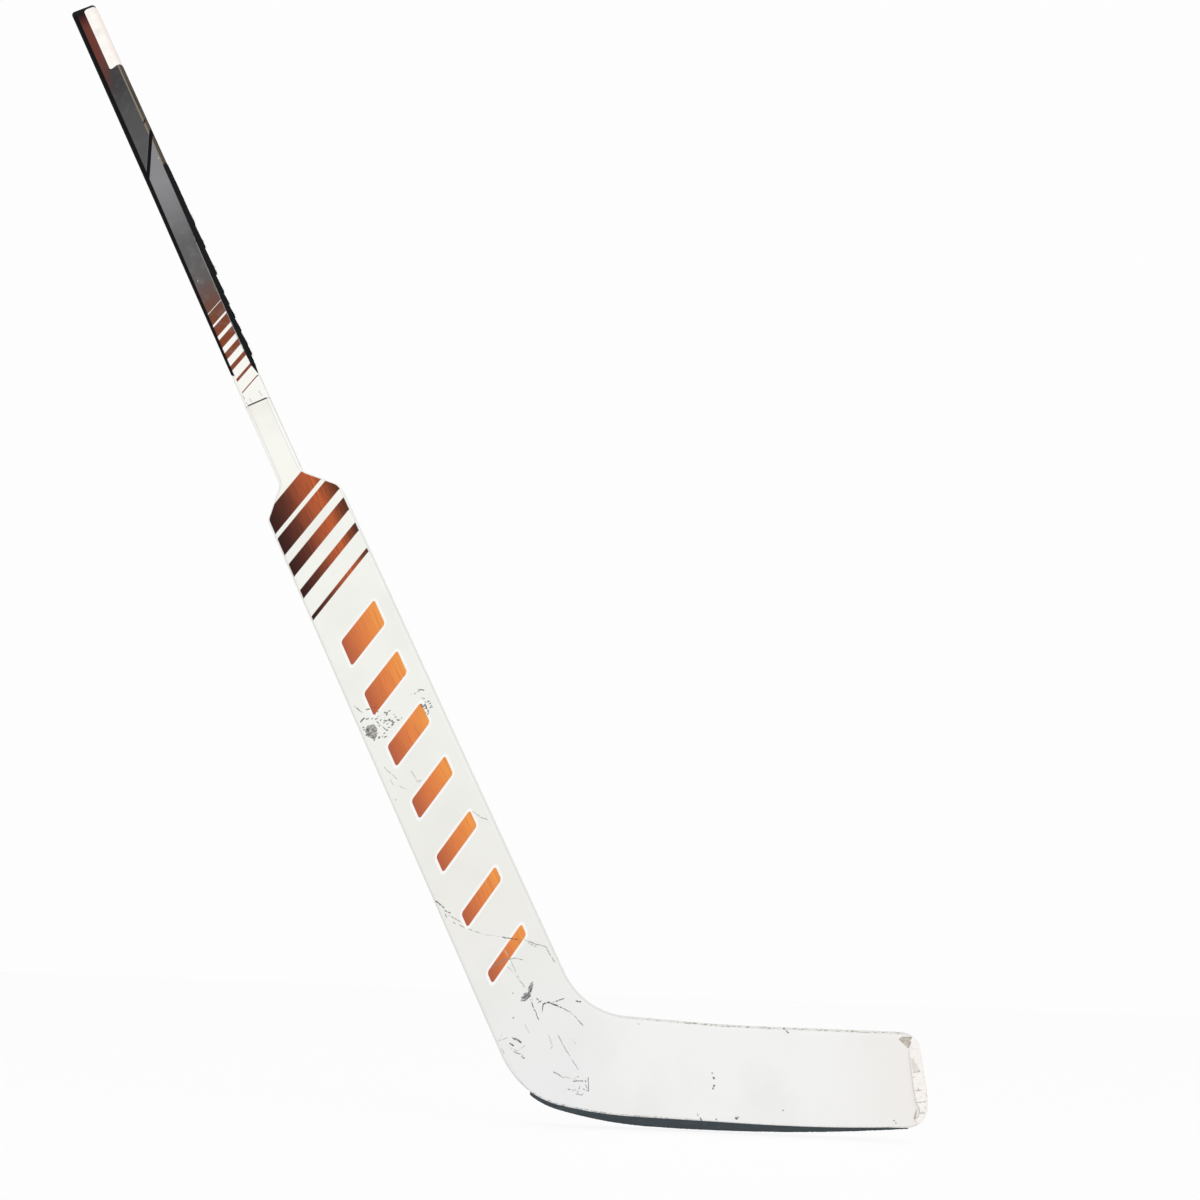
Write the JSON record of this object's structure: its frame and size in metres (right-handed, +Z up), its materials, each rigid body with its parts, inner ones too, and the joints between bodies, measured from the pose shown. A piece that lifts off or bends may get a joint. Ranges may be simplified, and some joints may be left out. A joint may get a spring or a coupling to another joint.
{
  "type": "hockey goalie stick",
  "caption": "White ice hockey goalie stick: wide flat paddle, curved blade with a dark sole, dark printed shaft with a rubber butt cap and a rough side strip.",
  "frame": {"origin": "heel point: where the line of the paddle's outer edge meets the ice, at the middle of the paddle's thickness", "axes": "+X along the blade towards the toe, +Y through the thickness away from the shooting face, +Z up from the ice"},
  "size_m": [1.0173, 0.0407, 1.2859],
  "materials": {
    "white_laminate": "white lacquer over glass and carbon laminate, scuffed",
    "printed_shaft": "lacquered carbon tube, dark print on the front face, white at the seam",
    "cap_rubber": "moulded black, satin",
    "friction_strip": "rough black friction cloth",
    "label_paper": "plain white matt paper",
    "toe_cloth": "white cloth tape, pressed flat",
    "wear_plastic": "dark grey, rubbed by the ice",
    "bond_resin": "dark filled resin",
    "carbon": "bare carbon laminate",
    "dense_foam": "dense closed-cell foam",
    "light_foam": "light closed-cell foam"
  },
  "bodies": {
    "root": {"front_skin": "white_laminate", "back_skin": "white_laminate", "paddle_rail_outer": "white_laminate", "paddle_rail_inner": "white_laminate", "blade_top_rail": "white_laminate", "toe_rail": "white_laminate", "blade_bottom_rail": "white_laminate", "shaft_tube": "printed_shaft", "butt_cap": "cap_rubber", "side_grip": "friction_strip", "shaft_label": "label_paper", "toe_tape": "toe_cloth", "wear_strip": "wear_plastic", "joint_glue_line": "bond_resin", "joint_spigot": "carbon", "paddle_rib": "carbon", "blade_rib": "carbon", "shoulder_block": "dense_foam", "heel_core": "dense_foam", "paddle_core_outer": "light_foam", "paddle_core_inner": "light_foam", "blade_core_upper": "light_foam", "blade_core_lower": "light_foam"}
  },
  "joints": []
}
